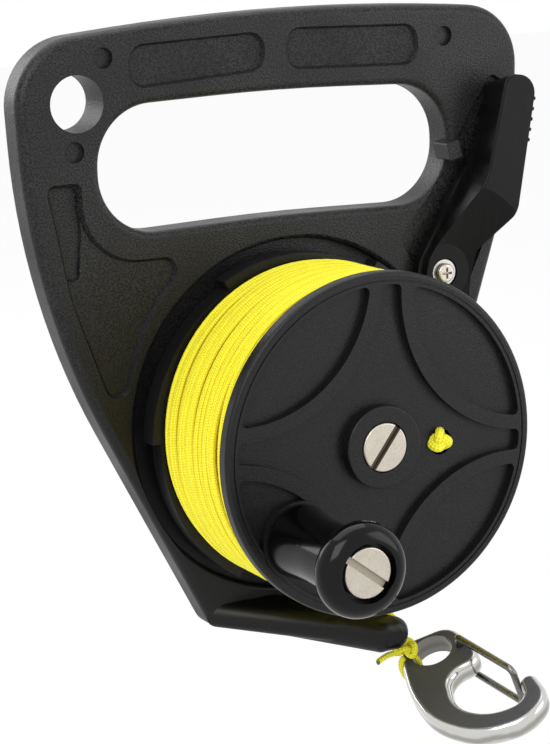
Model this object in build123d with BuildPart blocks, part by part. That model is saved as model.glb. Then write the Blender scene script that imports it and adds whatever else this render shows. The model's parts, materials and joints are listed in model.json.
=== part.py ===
from build123d import *
from math import acos, atan2, cos, pi, radians, sin, sqrt, tan
import os

os.makedirs("parts", exist_ok=True)

# Dive reel. Millimetres, +Z up, +Y away from the user who looks at the crank side.
# The origin is the middle of the lanyard hole on the flat back of the frame, so -Y points
# at the user. A height is a distance in front of that back, and places in the plane of the
# frame are measured from the spool's axis.

# Shared clearances, and how far a cut runs past what it cuts
running_gap = 0.08
face_gap = 0.2
body_gap = 0.35
touch_gap = 0.05
overrun = 2.0

# Frame plate
spool_x = 64.2
spool_z = -94.3
frame_width = 160.0
frame_height = 180.0
plate_thick = 12.0
edge_round = 2.8
grip_round = 2.0

# Corners clockwise from the heel: across, up, and how much of the shorter run beside it the
# corner's rounding takes
frame_shares = [
    (-0.179, -0.339, 0.058), (-0.4956, 0.2222, 0.62), (-0.5138, 0.6156, 0.255), (0.0313, 0.6606, 0.74),
    (0.4975, 0.63, 0.36), (0.49, 0.372, 0.364), (0.22, -0.339, 0.558),
]
grip_shares = [
    (-0.365, 0.5144, 0.458), (-0.0125, 0.5239, 0.368), (0.3375, 0.5133, 0.463),
    (0.3375, 0.3183, 0.49), (-0.0125, 0.3256, 0.296), (-0.365, 0.3167, 0.486),
]
pill_left_shares = [
    (-0.3038, 0.5389, 0.434), (-0.3013, 0.6067, 0.365), (-0.0388, 0.6161, 0.458), (-0.04, 0.5544, 0.398),
]
pill_right_shares = [
    (0.0019, 0.5528, 0.399), (0.0031, 0.6189, 0.407), (0.2763, 0.6128, 0.4), (0.2744, 0.5461, 0.401),
]
panel_shares = [
    (-0.4663, 0.4056, 0.282), (-0.4, 0.4056, 0.2), (-0.4, 0.2789, 0.75), (-0.1956, 0.2794, 0.396),
    (-0.2881, 0.1828, 0.476), (-0.3306, 0.0678, 0.343), (-0.3675, 0.0678, 0.336), (-0.4288, 0.2222, 0.163),
]
taper_shares = [
    (-0.4605, 0.4011, 0.242), (-0.4065, 0.4011, 0.186), (-0.4005, 0.3322, 0.155),
    (-0.409, 0.2556, 0.351), (-0.432, 0.2556, 0.329),
]
seat_shares = [
    (0.4337, 0.5244, 0.292), (0.3835, 0.4627, 0.0324), (0.2938, 0.3333, 0.0632), (0.2281, 0.2667, 0.134),
    (0.2938, 0.1611, 0.0096), (0.3344, 0.1056, 0.469), (0.4125, 0.2444, 0.116), (0.4594, 0.4, 0.188),
    (0.4636, 0.5078, 0.328),
]
dimple_shares = [(-0.35, 0.59), (-0.41, 0.452), (0.33, 0.59)]
dimple_radius = 2.9
dimple_depth = 1.5
lanyard_radius = 7.8

# Pockets moulded in the front face
pocket_depth = 1.3
pocket_draft = 30.0
panel_depth = 1.6
taper_depth = 0.9
seat_depth = 1.2

# Well round the ratchet, and the hub inside it
well_gap = 1.7
well_depth = 3.6
well_round = 1.3
hub_radius = 9.5
hub_height = 12.6
sleeve_seat = 2.0

# Foot that carries the line guide
foot_root_length = 36.0
foot_root_height = 9.0
foot_root_x = -9.2
foot_root_drop = 57.4
foot_tip_width = 11.6
foot_tip_height = 9.8
foot_tip_x = 14.0
foot_drop = 61.9
foot_reach = 43.8
foot_root_corner = 4.4
foot_tip_corner = 4.7
foot_tip_round = 3.4
guide_x = 15.4
guide_height = 38.0
guide_radius = 1.5

# Axle
bolt_radius = 3.0
bolt_head_radius = 6.75
bolt_head_thick = 2.0
bolt_head_round = 0.4
bolt_face_height = 62.4
slot_width = 2.0
slot_depth = 1.4
hub_slot_angle = 52.0
knob_slot_angle = -38.0
sleeve_radius = 4.6
washer_thick = 0.5
washer_edge = 0.3
nut_across = 10.0
nut_thick = 3.4
nut_inset = 0.4

# Spool: ratchet disc behind, drum, and crank flange in front
flange_thick = 3.8
flange_face_height = 61.0
flange_round = 1.1
flange_groove_place = 2.1
flange_groove_width = 0.5
flange_groove_depth = 0.3
disc_rear_height = 13.5
disc_thick = 6.2
tooth_root_radius = 47.0
tooth_rise = 2.7
flange_lip = 1.0
line_room = 0.1
tooth_count = 6
tooth_phase = 1.0
drum_radius = 29.0
drum_wall = 2.6
spigot_depth = 1.2
spigot_wall = 2.0
spool_hub_radius = 7.5

# Star and petal pockets of the crank flange
star_turn = -5.3
star_reach = 44.6
star_depth = 2.2
star_arm_half = 2.9
star_waist = 21.5
star_rib = 4.0
star_corner = 1.5
boss_radius = 11.5
boss_height = 62.0
boss_round = 0.5
anchor_place = 19.8
anchor_radius = 3.7
anchor_knot_radius = 3.3
anchor_wrap_radius = 0.9
anchor_core_radius = 2.7
anchor_tilt = 35.0
anchor_height = 59.3
knob_place = 34.7
knob_boss_radius = 11.0
knob_boss_height = 61.4

# Knob
knob_length = 36.2
knob_base_radius = 10.2
knob_base_round = 0.8
knob_neck_radius = 9.35
knob_neck_place = 7.0
knob_shaft_radius = 9.0
knob_ring_radius = 12.9
knob_ring_tube = 4.6
knob_mouth_radius = 8.0
knob_mouth_depth = 3.0
spindle_radius = 4.0
knob_screw_radius = 1.9
knob_screw_length = 9.0
knob_head_radius = 6.8
knob_head_thick = 2.2

# Line
line_radius = 0.85
line_turns = 15
line_end_bend = 1.2
wound_gap = 0.1
collar_drop = 0.3

# Thumb lever with its pawl: corners clockwise from the top, at the front and at the back
pivot_angle = 37.5
pivot_margin = 11.05
lever_gap = 0.6
lever_length = 60.0
lever_hub_thick = 4.8
lever_ledge_thick = 3.0
lever_pad_thick = 11.4
lever_slope_start = 8.5
lever_slope_end = 27.0
lever_slope_turn = 40.0
lever_edge_round = 0.7
lever_front_shares = [
    (0.305, 0.968, 0.335), (0.490, 0.938, 0.517), (0.370, 0.283, 0.133), (0.178, 0.090, 0.0438),
    (0.132, -0.128, 0.0224), (0.052, -0.363, 0.158), (-0.01, -0.36, 0.106), (-0.032, -0.21, 0.134),
    (-0.127, -0.1, 0.294), (-0.06, 0.1, 0.0433), (0.19, 0.47, 0.0832),
]
lever_back_shares = [
    (0.312, 0.905, 0.2), (0.490, 0.930, 0.6), (0.362, 0.287, 0.141), (0.178, 0.107, 0.0429),
    (0.132, -0.128, 0.0234), (0.052, -0.363, 0.158), (-0.01, -0.36, 0.106), (-0.032, -0.21, 0.144),
    (-0.127, -0.1, 0.3), (-0.105, 0.06, 0.1), (0.208, 0.505, 0.16),
]
lever_ledge_shares = [
    (0.275, 0.83, 0.3), (0.33, 0.75, 0.2), (0.08, -0.05, 0.3), (-0.03, -0.15, 0.3), (-0.142, -0.085, 0.3),
    (-0.13, 0.06, 0.3), (0.262, 0.675, 0.5),
]
grip_rib_shares = [(0.472, 0.83), (0.463, 0.78), (0.454, 0.73), (0.445, 0.68), (0.436, 0.63)]
grip_rib_radius = 0.6

# Lever pivot
pivot_bore_radius = 2.9
pivot_screw_radius = 1.8
pivot_screw_length = 13.0
pivot_head_radius = 2.8
pivot_head_thick = 1.7
pivot_head_round = 0.7
pivot_counter_radius = 4.3
pivot_counter_depth = 1.0
pivot_washer_radius = 3.9
cross_length = 3.4
cross_width = 0.7
cross_depth = 0.8
spring_pocket_radius = 6.0
spring_pocket_depth = 2.7
spring_seat_depth = 2.4
spring_coil_radius = 4.4
spring_wire_radius = 0.4
spring_turns = 2
spring_end_bend = 0.6
spring_pitch = 1.3

# Stop block for the lever
stop_x = 53.1
stop_z = 73.0
stop_length = 4.4
stop_width = 5.2
stop_height = 4.6
stop_round = 0.6
stop_turn = 14.0

# Snap hook, its outline measured across and along from the middle of its eye
hook_eye_x = 28.8
hook_eye_height = 39.5
hook_eye_drop = 72.2
hook_across_shares = (0.855, -0.394, 0.346)
hook_normal_shares = (-0.431, -0.173, 0.884)
hook_length = 50.0
hook_thick = 6.4
hook_round = 1.8
eye_radius = 6.2
eye_rim = 2.4
hook_shares = [
    (-0.198, 0.0, 0.48), (-0.172, -0.164, 0.48), (0.152, -0.168, 0.4), (0.232, 0.04, 0.45),
    (0.252, 0.22, 0.5), (0.028, 0.248, 0.45), (0.004, 0.54, 0.5), (0.18, 0.692, 0.5),
    (0.38, 0.684, 0.45), (0.392, 0.5, 0.48), (0.484, 0.492, 0.5), (0.52, 0.72, 0.45),
    (0.34, 0.856, 0.5), (0.052, 0.812, 0.5), (-0.16, 0.572, 0.45), (-0.216, 0.28, 0.4),
]

# Wire bail that closes the hook
gate_wire_radius = 1.0
gate_pivot_across = 8.2
gate_pivot_along = 2.6
gate_length = 24.8
gate_lean = 25.5
gate_half_width = 6.6
gate_root_bend = 1.3
gate_bend = 2.0
gate_leg_inset = 1.6

# Knot, loop and tail that tie the hook to the line
loop_radius = 4.6
knot_radius = 2.8
knot_seat = 1.9
loop_open = 27.0
lead_gap = 0.4
line_entry_drop = 54.5
line_entry_bend = 3.0
line_exit_drop = 68.2
line_exit_bend = 1.2
tail_length = 6.5
tail_shares = (-0.9, -0.35, -0.26)


def front(height, x=0, z=0):
    return Plane(origin=(spool_x + x, -height, spool_z + z), x_dir=(1, 0, 0), z_dir=(0, -1, 0))


def place(x, height, z):
    return Vector(spool_x + x, -height, spool_z + z)


def save(node, name):
    node.part.label = name
    export_step(node.part, "parts/" + name + ".step")


def section(x=0, z=0):
    return Plane(origin=(spool_x + x, 0, spool_z + z), x_dir=(1, 0, 0), z_dir=(0, 0, -1))


def outline(shares, width, height, plane):
    corners = [Vector(across * width, up * height) for across, up, _ in shares]
    radii = []
    for corner, (_, _, share) in enumerate(shares):
        before = corners[corner] - corners[corner - 1]
        after = corners[(corner + 1) % len(corners)] - corners[corner]
        turn = radians(before.get_angle(after))
        radii.append(share * min(before.length, after.length) / tan(turn / 2))
    with BuildSketch(plane) as flat:
        with BuildLine():
            FilletPolyline(*corners, radius=radii, close=True)
        make_face()
    return flat.sketch


def disc(low, high, radius, x=0, z=0, bore=0, mode=Mode.ADD):
    with BuildSketch(front(low, x, z)) as flat:
        Circle(radius)
        if bore > 0:
            Circle(bore, mode=Mode.SUBTRACT)
    extrude(flat.sketch, amount=high - low, mode=mode)


def slotted(height, radius, angle, x=0, z=0):
    with BuildSketch(front(height, x, z)) as flat:
        Rectangle(2 * radius + overrun, slot_width, rotation=angle)
    extrude(flat.sketch, amount=-slot_depth, mode=Mode.SUBTRACT)


# Two tangent arcs from one point and direction to another
def biarc(start, start_way, end, end_way):
    span = end - start
    bend = 2 * (1 - start_way.dot(end_way))
    reach = span.dot(start_way + end_way)
    arm = span.dot(span) / (2 * reach)
    if bend > 1e-9:
        arm = (sqrt(reach * reach + bend * span.dot(span)) - reach) / bend
    first = start + start_way * arm
    second = end - end_way * arm
    middle = (first + second) / 2
    TangentArc(start, middle, tangent=start_way)
    TangentArc(middle, end, tangent=(second - first).normalized())


# Coil about an axis along Y, with both ends bent square and run straight to what they meet
def coil(x, z, radius, low, high, turns, end_bend, end_run):
    def spot(share):
        angle = radians(-360 * turns * share)
        point = place(x + radius * cos(angle), low + (high - low) * share, z + radius * sin(angle))
        round_way = Vector(sin(angle), 0, -cos(angle)) * (2 * pi * radius * turns)
        way = (round_way + Vector(0, low - high, 0)).normalized()
        return point, way

    rise = Vector(0, -1, 0)
    quarters = 4 * turns
    first, first_way = spot(0)
    last, last_way = spot(1)
    start = first - Vector(first_way.X, 0, first_way.Z) * end_bend - rise * end_bend
    end = last + Vector(last_way.X, 0, last_way.Z) * end_bend + rise * end_bend
    with BuildLine() as path:
        Line(start - rise * end_run, start)
        biarc(start, rise, first, first_way)
        for quarter in range(quarters):
            point, way = spot(quarter / quarters)
            next_point, next_way = spot((quarter + 1) / quarters)
            biarc(point, way, next_point, next_way)
        biarc(last, last_way, end, rise)
        Line(end, end + rise * end_run)
    return path


def tube(path, radius):
    wire = path.wires()[0]
    with BuildSketch(Plane(origin=wire @ 0, z_dir=wire % 0)) as flat:
        Circle(radius)
    sweep(flat.sketch, path=wire)


# Sizes that follow the ratchet's teeth
tooth_tip_radius = tooth_root_radius + tooth_rise
flange_radius = tooth_root_radius + flange_lip
line_full_radius = tooth_root_radius - line_room

# Frame: plate with window, pockets, ratchet well, hub, lever seat, foot and line guide
well_radius = tooth_tip_radius + well_gap
well_floor = plate_thick - well_depth
pivot_distance = tooth_tip_radius + body_gap + pivot_margin
pivot_x = pivot_distance * cos(radians(pivot_angle))
pivot_z = pivot_distance * sin(radians(pivot_angle))
lever_rear = plate_thick + lever_gap
spring_floor = plate_thick - spring_seat_depth
screw_seat = lever_rear + lever_hub_thick - pivot_counter_depth + face_gap + washer_thick
screw_end = screw_seat - pivot_screw_length
spring_low = spring_floor + 2 * spring_wire_radius + spring_end_bend
spring_high = spring_low + spring_turns * spring_pitch
with BuildPart() as frame:
    extrude(outline(frame_shares, frame_width, frame_height, front(0)), amount=plate_thick)
    fillet(frame.faces().filter_by(Axis.Y).edges(), radius=edge_round)
    with BuildSketch(front(edge_round, foot_root_x, -foot_root_drop)):
        RectangleRounded(foot_root_length, foot_root_height, foot_root_corner)
    with BuildSketch(front(foot_reach, foot_tip_x, -foot_drop)):
        RectangleRounded(foot_tip_width, foot_tip_height, foot_tip_corner)
    loft()
    fillet(frame.faces().sort_by(Axis.Y)[0].edges(), radius=foot_tip_round)
    extrude(outline(grip_shares, frame_width, frame_height, front(0)), amount=plate_thick,
            mode=Mode.SUBTRACT)
    back, face = frame.faces().filter_by(Axis.Y).sort_by(SortBy.AREA)[-2:]
    fillet(back.inner_wires()[0].edges() + face.inner_wires()[0].edges(), radius=grip_round)
    with BuildSketch(Plane(origin=(0, 0, 0), x_dir=(1, 0, 0), z_dir=(0, -1, 0))):
        Circle(lanyard_radius)
    extrude(amount=plate_thick, mode=Mode.SUBTRACT)
    for pocket_shares, depth in ((pill_left_shares, pocket_depth), (pill_right_shares, pocket_depth),
                                 (panel_shares, panel_depth), (seat_shares, seat_depth)):
        pocket = outline(pocket_shares, frame_width, frame_height, front(plate_thick))
        extrude(pocket, amount=-depth, taper=pocket_draft, mode=Mode.SUBTRACT)
    step = outline(taper_shares, frame_width, frame_height, front(plate_thick - panel_depth))
    extrude(step, amount=-taper_depth, taper=pocket_draft, mode=Mode.SUBTRACT)
    for across, up in dimple_shares:
        disc(plate_thick - dimple_depth, plate_thick + overrun, dimple_radius,
             across * frame_width, up * frame_height, mode=Mode.SUBTRACT)
    with BuildSketch(section()):
        with BuildLine():
            Polyline((0, well_floor), (well_radius, well_floor), (well_radius, plate_thick - well_round))
            ThreePointArc(
                (well_radius, plate_thick - well_round),
                (well_radius + well_round * (1 - sqrt(0.5)), plate_thick - well_round * (1 - sqrt(0.5))),
                (well_radius + well_round, plate_thick),
            )
            Polyline((well_radius + well_round, plate_thick), (well_radius + well_round, plate_thick + overrun),
                     (0, plate_thick + overrun), (0, well_floor))
        make_face()
    revolve(axis=Axis(place(0, 0, 0), (0, -1, 0)), mode=Mode.SUBTRACT)
    disc(well_floor - overrun, hub_height, hub_radius)
    disc(hub_height - sleeve_seat, hub_height, sleeve_radius + touch_gap, mode=Mode.SUBTRACT)
    disc(0, hub_height, bolt_radius + touch_gap, mode=Mode.SUBTRACT)
    with BuildSketch(front(0)):
        RegularPolygon(nut_across / 2 + touch_gap, 6, major_radius=False)
    extrude(amount=nut_thick + nut_inset, mode=Mode.SUBTRACT)
    disc(spring_floor, plate_thick, spring_pocket_radius, pivot_x, pivot_z, mode=Mode.SUBTRACT)
    disc(screw_end - face_gap, plate_thick, pivot_screw_radius + touch_gap, pivot_x, pivot_z,
         mode=Mode.SUBTRACT)
    with BuildSketch(front(plate_thick - seat_depth - overrun, stop_x, stop_z)):
        RectangleRounded(stop_length, stop_width, stop_round, rotation=stop_turn)
    extrude(amount=seat_depth + overrun + stop_height)
    with BuildSketch(Plane(origin=place(guide_x, guide_height, -foot_drop - foot_tip_height))):
        Circle(guide_radius)
    extrude(amount=2 * foot_tip_height, mode=Mode.SUBTRACT)
save(frame, "frame")

# Axle: bolt, nut, sleeve and washers, all still while the spool turns
bolt_seat = bolt_face_height - bolt_head_thick
with BuildPart() as axle_bolt:
    disc(bolt_seat, bolt_face_height, bolt_head_radius)
    fillet(axle_bolt.faces().sort_by(Axis.Y)[0].edges(), radius=bolt_head_round)
    disc(nut_inset, bolt_seat, bolt_radius)
    slotted(bolt_face_height, bolt_head_radius, hub_slot_angle)
save(axle_bolt, "axle_bolt")

with BuildPart() as axle_nut:
    with BuildSketch(front(nut_inset)):
        RegularPolygon(nut_across / 2, 6, major_radius=False)
        Circle(bolt_radius + touch_gap, mode=Mode.SUBTRACT)
    extrude(amount=nut_thick)
    chamfer(axle_nut.faces().sort_by(Axis.Y)[-1].outer_wire().edges(), length=washer_edge)
save(axle_nut, "axle_nut")

with BuildPart() as axle_sleeve:
    disc(hub_height - sleeve_seat, bolt_seat - washer_thick, sleeve_radius, bore=bolt_radius + touch_gap)
save(axle_sleeve, "axle_sleeve")

with BuildPart() as head_washer:
    disc(bolt_seat - washer_thick, bolt_seat, bolt_head_radius, bore=bolt_radius + touch_gap)
save(head_washer, "head_washer")

with BuildPart() as thrust_washer:
    disc(hub_height, hub_height + washer_thick, hub_radius, bore=sleeve_radius + touch_gap)
save(thrust_washer, "thrust_washer")

# Ratchet disc: saw teeth that slope up against the winding turn, and the hub tube
disc_face = disc_rear_height + disc_thick
flange_rear = flange_face_height - flange_thick
spigot_radius = drum_radius - drum_wall - touch_gap
tooth_angle = 360 / tooth_count
with BuildPart() as ratchet_disc:
    with BuildSketch(front(disc_rear_height)):
        with BuildLine():
            for tooth in range(tooth_count):
                foot_angle = tooth_phase + tooth * tooth_angle
                rise = [(tooth_root_radius, 0), ((tooth_root_radius + tooth_tip_radius) / 2, 0.5),
                        (tooth_tip_radius, 1), (tooth_root_radius, 1)]
                low, middle, tip, next_low = [
                    Vector(radius, 0).rotate(Axis.Z, foot_angle + share * tooth_angle)
                    for radius, share in rise
                ]
                ThreePointArc(low, middle, tip)
                Line(tip, next_low)
        make_face()
        Circle(sleeve_radius + running_gap, mode=Mode.SUBTRACT)
    extrude(amount=disc_thick)
    disc(disc_face, flange_rear, spool_hub_radius, bore=sleeve_radius + running_gap)
    disc(disc_face, disc_face + spigot_depth, spigot_radius, bore=spigot_radius - spigot_wall)
save(ratchet_disc, "ratchet_disc")

with BuildPart() as drum:
    disc(disc_face, flange_rear, drum_radius, bore=drum_radius - drum_wall)
save(drum, "drum")

# Crank flange: star and petal pockets, hub boss, knob boss and the hole that anchors the line
star_floor = flange_face_height - star_depth
arm_corner = (sqrt(star_reach**2 - star_arm_half**2) + star_arm_half) * cos(radians(45))
side_place = (star_reach**2 - star_waist**2) / (2 * (arm_corner - star_waist))
side_radius = side_place - star_waist
petal_radius = side_radius - star_rib
knob_turn = radians(star_turn + 225)
knob_x = knob_place * cos(knob_turn)
knob_z = knob_place * sin(knob_turn)
anchor_x = anchor_place * cos(radians(star_turn))
anchor_z = anchor_place * sin(radians(star_turn))
with BuildPart() as front_flange:
    disc(flange_rear, flange_face_height, flange_radius)
    fillet(front_flange.faces().sort_by(Axis.Y)[0].edges(), radius=flange_round)
    groove_radius = flange_radius - flange_groove_place
    disc(flange_face_height - flange_groove_depth, flange_face_height, groove_radius,
         bore=groove_radius - flange_groove_width, mode=Mode.SUBTRACT)
    with BuildSketch(front(flange_face_height)) as star:
        Circle(star_reach)
        with PolarLocations(side_place, 4, start_angle=45 + star_turn):
            Circle(side_radius, mode=Mode.SUBTRACT)
        fillet(star.vertices(), radius=star_corner)
        Circle(boss_radius, mode=Mode.SUBTRACT)
    extrude(amount=-star_depth, mode=Mode.SUBTRACT)
    for petal in range(4):
        petal_turn = radians(45 + star_turn + 90 * petal)
        with BuildSketch(front(flange_face_height)) as lens:
            Circle(star_reach)
            with Locations((side_place * cos(petal_turn), side_place * sin(petal_turn))):
                Circle(petal_radius, mode=Mode.INTERSECT)
            fillet(lens.vertices(), radius=star_corner)
        extrude(amount=-star_depth, mode=Mode.SUBTRACT)
    disc(flange_face_height - overrun, boss_height, boss_radius)
    fillet(front_flange.faces().sort_by(Axis.Y)[0].edges(), radius=boss_round)
    disc(star_floor - touch_gap, knob_boss_height, knob_boss_radius, knob_x, knob_z)
    disc(bolt_seat - washer_thick - face_gap, boss_height, bolt_head_radius + body_gap, mode=Mode.SUBTRACT)
    disc(flange_rear - overrun, boss_height, sleeve_radius + running_gap, mode=Mode.SUBTRACT)
    disc(flange_rear - spigot_depth, flange_rear, spigot_radius, bore=spigot_radius - spigot_wall)
    disc(flange_rear - overrun, knob_boss_height, spindle_radius + touch_gap, knob_x, knob_z,
         mode=Mode.SUBTRACT)
    disc(flange_rear - overrun, flange_face_height, anchor_radius, anchor_x, anchor_z, mode=Mode.SUBTRACT)
save(front_flange, "front_flange")

# Knob with a bulging end ring, free on its spindle under the screw's head
knob_low = knob_boss_height + face_gap
knob_high = knob_low + knob_length
mouth_floor = knob_high - knob_mouth_depth
spindle_end = mouth_floor + face_gap
ring_centre = knob_ring_radius - knob_ring_tube
ring_height = knob_high - knob_ring_tube
ring_dip = sqrt(knob_ring_tube**2 - (knob_shaft_radius - ring_centre) ** 2)
diagonal = sqrt(0.5)
with BuildPart() as knob_spindle:
    disc(flange_rear + touch_gap, spindle_end, spindle_radius, knob_x, knob_z)
    disc(spindle_end - knob_screw_length - face_gap, spindle_end, knob_screw_radius + touch_gap,
         knob_x, knob_z, mode=Mode.SUBTRACT)
save(knob_spindle, "knob_spindle")

with BuildPart() as knob_screw:
    disc(spindle_end, spindle_end + knob_head_thick, knob_head_radius, knob_x, knob_z)
    fillet(knob_screw.faces().sort_by(Axis.Y)[0].edges(), radius=bolt_head_round)
    disc(spindle_end - knob_screw_length, spindle_end, knob_screw_radius, knob_x, knob_z)
    slotted(spindle_end + knob_head_thick, knob_head_radius, knob_slot_angle, knob_x, knob_z)
save(knob_screw, "knob_screw")

with BuildPart() as knob:
    with BuildSketch(section(knob_x, knob_z)):
        with BuildLine():
            bore = spindle_radius + running_gap
            round_low = knob_base_round * (1 - diagonal)
            Line((bore, knob_low), (knob_base_radius - knob_base_round, knob_low))
            ThreePointArc(
                (knob_base_radius - knob_base_round, knob_low),
                (knob_base_radius - round_low, knob_low + round_low),
                (knob_base_radius, knob_low + knob_base_round),
            )
            ThreePointArc(
                (knob_base_radius, knob_low + knob_base_round),
                (knob_neck_radius, knob_low + knob_neck_place),
                (knob_shaft_radius, knob_low + 2 * knob_neck_place),
            )
            Line((knob_shaft_radius, knob_low + 2 * knob_neck_place),
                 (knob_shaft_radius, ring_height - ring_dip))
            ThreePointArc(
                (knob_shaft_radius, ring_height - ring_dip),
                (knob_ring_radius, ring_height),
                (ring_centre, knob_high),
            )
            Polyline((ring_centre, knob_high), (knob_mouth_radius, knob_high), (knob_mouth_radius, mouth_floor),
                     (bore, mouth_floor), (bore, knob_low))
        make_face()
    revolve(axis=Axis(place(knob_x, 0, knob_z), (0, -1, 0)))
save(knob, "knob")

# Line on the drum: a filled core with a collar at each end, and one coil laid over it
core_radius = line_full_radius - 2 * line_radius - wound_gap
coil_radius = line_full_radius - line_radius
core_low = disc_face + wound_gap
core_high = flange_rear - wound_gap
coil_low = disc_face + 2 * line_radius + line_end_bend
coil_high = flange_rear - 2 * line_radius - line_end_bend
collar_radius = line_full_radius - collar_drop
with BuildPart() as wound_line_core:
    disc(core_low, core_high, core_radius, bore=drum_radius + touch_gap)
    for low, high, side in ((core_low, disc_face + 2 * line_radius, -line_end_bend),
                            (flange_rear - 2 * line_radius, core_high, line_end_bend)):
        disc(low, high, collar_radius, bore=core_radius - wound_gap)
        disc(low, high, line_radius + wound_gap, coil_radius, -side, mode=Mode.SUBTRACT)
save(wound_line_core, "wound_line_core")

with BuildPart() as wound_line:
    tube(coil(0, 0, coil_radius, coil_low, coil_high, line_turns, line_end_bend, 2 * line_radius),
         line_radius)
save(wound_line, "wound_line")
coil_points = []
for step in range(36 * line_turns + 1):
    angle = radians(10 * step)
    height = coil_low + (coil_high - coil_low) * step / (36 * line_turns)
    coil_points.append(Vector(coil_radius * cos(angle), height, coil_radius * sin(angle)))
line_pitch = min(
    (coil_points[one] - coil_points[other]).length
    for one in range(len(coil_points))
    for other in range(one + 18, min(one + 55, len(coil_points)))
)
print("least gap between loops of the wound line", round(line_pitch - 2 * line_radius, 3))

# Stopper knot of the line's inner end, seated in the crank flange
with BuildPart() as anchor_knot:
    with Locations(place(anchor_x, anchor_height, anchor_z)):
        Sphere(anchor_core_radius)
        Torus(anchor_knot_radius - anchor_wrap_radius, anchor_wrap_radius, rotation=(0, anchor_tilt, 0))
        Torus(anchor_knot_radius - anchor_wrap_radius, anchor_wrap_radius, rotation=(0, anchor_tilt + 90, 0))
save(anchor_knot, "anchor_knot")

# Thumb lever: thick pad above, a slope that rises from the hub, and the pawl below
lever_hub_height = lever_rear + lever_hub_thick
lever_pad_height = lever_rear + lever_pad_thick
counter_floor = lever_hub_height - pivot_counter_depth
with BuildPart() as thumb_lever:
    loft(
        [
            outline(lever_back_shares, lever_length, lever_length, front(lever_rear, pivot_x, pivot_z)).face(),
            outline(lever_front_shares, lever_length, lever_length,
                    front(lever_pad_height, pivot_x, pivot_z)).face(),
        ],
        ruled=True,
    )
    fillet(thumb_lever.faces().sort_by(Axis.Y)[0].edges(), radius=lever_edge_round)
    ledge = outline(lever_ledge_shares, lever_length, lever_length, front(lever_rear, pivot_x, pivot_z))
    extrude(ledge, amount=lever_ledge_thick)
    with BuildSketch(section(pivot_x, pivot_z)):
        with BuildLine():
            Polyline((0, lever_hub_height), (lever_slope_start, lever_hub_height),
                     (lever_slope_end, lever_pad_height), (lever_slope_end, lever_pad_height + overrun),
                     (0, lever_pad_height + overrun), (0, lever_hub_height))
        make_face()
    revolve(axis=Axis(place(pivot_x, 0, pivot_z), (0, -1, 0)), mode=Mode.SUBTRACT)
    with BuildSketch(front(lever_hub_height, pivot_x, pivot_z)):
        Rectangle(lever_length, lever_length, rotation=lever_slope_turn, align=(Align.MAX, Align.CENTER))
    extrude(amount=lever_pad_thick, mode=Mode.SUBTRACT)
    disc(lever_rear, lever_hub_height, pivot_bore_radius, pivot_x, pivot_z, mode=Mode.SUBTRACT)
    disc(counter_floor, lever_hub_height, pivot_counter_radius, pivot_x, pivot_z, mode=Mode.SUBTRACT)
    disc(lever_rear, lever_rear + spring_pocket_depth, spring_pocket_radius, pivot_x, pivot_z,
         mode=Mode.SUBTRACT)
    with BuildSketch(front(lever_rear, pivot_x, pivot_z)):
        with Locations(*[(across * lever_length, up * lever_length) for across, up in grip_rib_shares]):
            Circle(grip_rib_radius)
    extrude(amount=lever_pad_thick - lever_edge_round)
save(thumb_lever, "thumb_lever")

# Pivot of the lever: a sleeve and washer clamped by a cross-slotted screw, and the return spring
with BuildPart() as lever_sleeve:
    disc(spring_floor, screw_seat - washer_thick, pivot_bore_radius - running_gap, pivot_x, pivot_z,
         bore=pivot_screw_radius + touch_gap)
save(lever_sleeve, "lever_sleeve")

with BuildPart() as lever_washer:
    disc(screw_seat - washer_thick, screw_seat, pivot_washer_radius, pivot_x, pivot_z,
         bore=pivot_screw_radius + touch_gap)
save(lever_washer, "lever_washer")

with BuildPart() as lever_screw:
    disc(screw_seat, screw_seat + pivot_head_thick, pivot_head_radius, pivot_x, pivot_z)
    fillet(lever_screw.faces().sort_by(Axis.Y)[0].edges(), radius=pivot_head_round)
    disc(screw_end, screw_seat, pivot_screw_radius, pivot_x, pivot_z)
    with BuildSketch(front(screw_seat + pivot_head_thick, pivot_x, pivot_z)):
        Rectangle(cross_length, cross_width)
        Rectangle(cross_width, cross_length)
    extrude(amount=-cross_depth, mode=Mode.SUBTRACT)
save(lever_screw, "lever_screw")

with BuildPart() as lever_spring:
    tube(coil(pivot_x, pivot_z, spring_coil_radius, spring_low, spring_high, spring_turns,
              spring_end_bend, 2 * spring_wire_radius), spring_wire_radius)
save(lever_spring, "lever_spring")

# Snap hook: a cast body that hangs in the line's loop by its eye
hook_eye = place(hook_eye_x, hook_eye_height, -hook_eye_drop)
across_way = Vector(*hook_across_shares).normalized()
normal_way = Vector(*hook_normal_shares).normalized()
along_way = across_way.cross(normal_way)
hook_plane = Plane(origin=hook_eye, x_dir=across_way, z_dir=normal_way)
hook_rear = hook_plane.offset(-hook_thick / 2)
with BuildPart() as snap_hook:
    extrude(outline(hook_shares, hook_length, -hook_length, hook_rear), amount=hook_thick)
    ends = snap_hook.faces().filter_by(Plane(origin=(0, 0, 0), z_dir=normal_way))
    fillet(ends.edges(), radius=hook_round)
    with BuildSketch(hook_rear):
        Circle(eye_radius)
        with Locations((gate_pivot_across, -gate_pivot_along)):
            Circle(gate_wire_radius + running_gap)
    extrude(amount=hook_thick, mode=Mode.SUBTRACT)
save(snap_hook, "snap_hook")

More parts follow.
